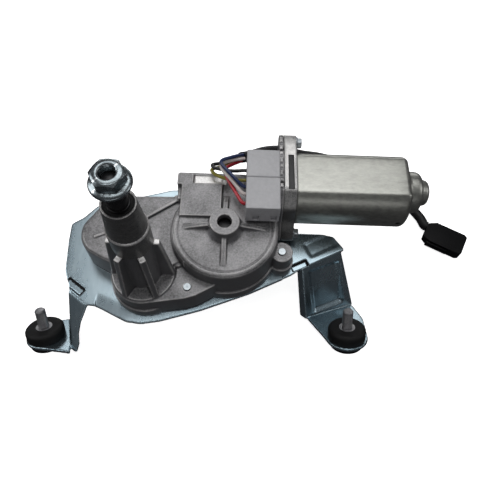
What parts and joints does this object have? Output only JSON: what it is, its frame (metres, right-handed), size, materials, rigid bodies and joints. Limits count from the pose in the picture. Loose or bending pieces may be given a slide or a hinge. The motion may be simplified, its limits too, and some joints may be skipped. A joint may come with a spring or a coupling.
{
  "type": "windshield wiper assembly",
  "caption": "Rear window wiper drive: electric motor, worm gearbox and swinging output shaft on a steel bracket with rubber-mounted feet and a short wiring lead.",
  "frame": {"origin": "middle of the cylindrical collar of the shaft tower, on the output shaft axis", "axes": "+Z along the output shaft, out of the tower; +X parallel to the motor shaft, from the shaft tower towards the motor can; +Y from the shaft tower towards the motor axis"},
  "size_m": [0.279, 0.1282, 0.15],
  "materials": {
    "cast_aluminium": "sand-rough as-cast die casting, satin",
    "cover_steel": "pressed sheet steel, dull",
    "bright_zinc": "bright zinc plating",
    "rubber_black": "matt moulded rubber",
    "zinc_sheet": "clear bluish zinc plating with rolling grain",
    "plain_steel": "turned or stamped bare steel",
    "black_steel": "black oxide",
    "nylon_cream": "moulded nylon",
    "brass": "stamped brass",
    "bronze": "sintered bronze",
    "black_plastic": "moulded black plastic",
    "can_steel": "drawn and plated steel, dull sheen",
    "die_cast_zinc": "die cast and machined",
    "ferrite": "ground ferrite",
    "carbon": "pressed carbon",
    "copper": "copper wire and bars",
    "laminated_steel": "stacked laminations",
    "grey_plastic": "moulded light grey plastic",
    "wire_red": "wire insulation",
    "wire_white": "wire insulation",
    "wire_blue": "wire insulation",
    "wire_yellow": "wire insulation",
    "wire_black": "wire insulation",
    "sheath_black": "flexible PVC tube",
    "connector_black": "moulded black plastic"
  },
  "bodies": {
    "housing": {"gear_housing": "cast_aluminium", "housing_cover": "cover_steel", "housing_screws": "bright_zinc", "housing_gasket": "rubber_black", "mounting_bracket": "zinc_sheet", "grommet_left": "rubber_black", "grommet_right": "rubber_black", "sleeve_left": "plain_steel", "sleeve_right": "plain_steel", "stud_left": "plain_steel", "stud_right": "plain_steel", "wheel_axle": "black_steel", "park_contacts": "brass", "contact_carrier": "black_plastic", "sector_pin": "plain_steel", "lower_bush": "bronze", "upper_bush": "bronze", "thrust_washer": "plain_steel", "shaft_seal": "rubber_black", "motor_can": "can_steel", "end_plate": "die_cast_zinc", "motor_screws": "bright_zinc", "magnets": "ferrite", "brush_holder": "black_plastic", "carbon_brushes": "carbon", "brush_springs": "plain_steel", "choke_coils": "copper", "rear_bearing": "bronze", "middle_bearing": "bronze", "tip_bearing": "bronze", "thrust_ball": "plain_steel", "terminal_socket": "grey_plastic", "harness_plug": "grey_plastic", "wire_red": "wire_red", "wire_white": "wire_white", "wire_blue": "wire_blue", "wire_yellow": "wire_yellow", "wire_black": "wire_black", "cable_sheath": "sheath_black", "cable_connector": "connector_black", "connector_latch": "connector_black", "connector_terminals": "brass"},
    "armature": {"commutator": "copper", "armature_shaft": "plain_steel", "worm": "plain_steel", "armature_core": "laminated_steel", "armature_windings": "copper"},
    "wheel": {"worm_wheel": "nylon_cream", "crank_pin": "plain_steel", "park_disc": "brass"},
    "sector": {"sector_gear": "plain_steel", "lever_pin": "plain_steel"},
    "rod": {"connecting_rod": "plain_steel"},
    "output": {"output_pinion": "plain_steel", "output_shaft": "black_steel", "retaining_ring": "plain_steel"},
    "nut": {"flange_nut": "bright_zinc"}
  },
  "joints": [
    {"name": "armature_spin", "type": "hinge", "parent": "housing", "child": "armature", "pos_m": [0.1, 0.0554, -0.042], "axis": [1, 0, 0], "range_deg": [0, 9000]},
    {"name": "wheel_turn", "type": "hinge", "parent": "housing", "child": "wheel", "pos_m": [0.0434, 0.0238, -0.042], "axis": [0, 0, 1], "range_deg": [0, 180]},
    {"name": "output_turn", "type": "hinge", "parent": "housing", "child": "output", "pos_m": [0, 0, 0], "axis": [0, 0, 1], "range_deg": [0, 120]},
    {"name": "sector_swing", "type": "hinge", "parent": "housing", "child": "sector", "pos_m": [-0.0095, 0.0204, -0.052], "axis": [0, 0, 1], "range_deg": [-60, 0]},
    {"name": "rod_swing", "type": "hinge", "parent": "sector", "child": "rod", "pos_m": [-0.01868, 0.03351, -0.0475], "axis": [0, 0, 1], "range_deg": [0, 56]},
    {"name": "nut_off", "type": "slide", "parent": "output", "child": "nut", "axis": [0, 0, 1], "range_m": [0, 0.03]}
  ],
  "couplings": [
    {"joint": "wheel_turn", "follows": "armature_spin", "ratio": 0.02},
    {"joint": "output_turn", "follows": "armature_spin", "ratio": 0.013333},
    {"joint": "sector_swing", "follows": "armature_spin", "ratio": -0.0066667},
    {"joint": "rod_swing", "follows": "armature_spin", "ratio": 0.0062222}
  ]
}
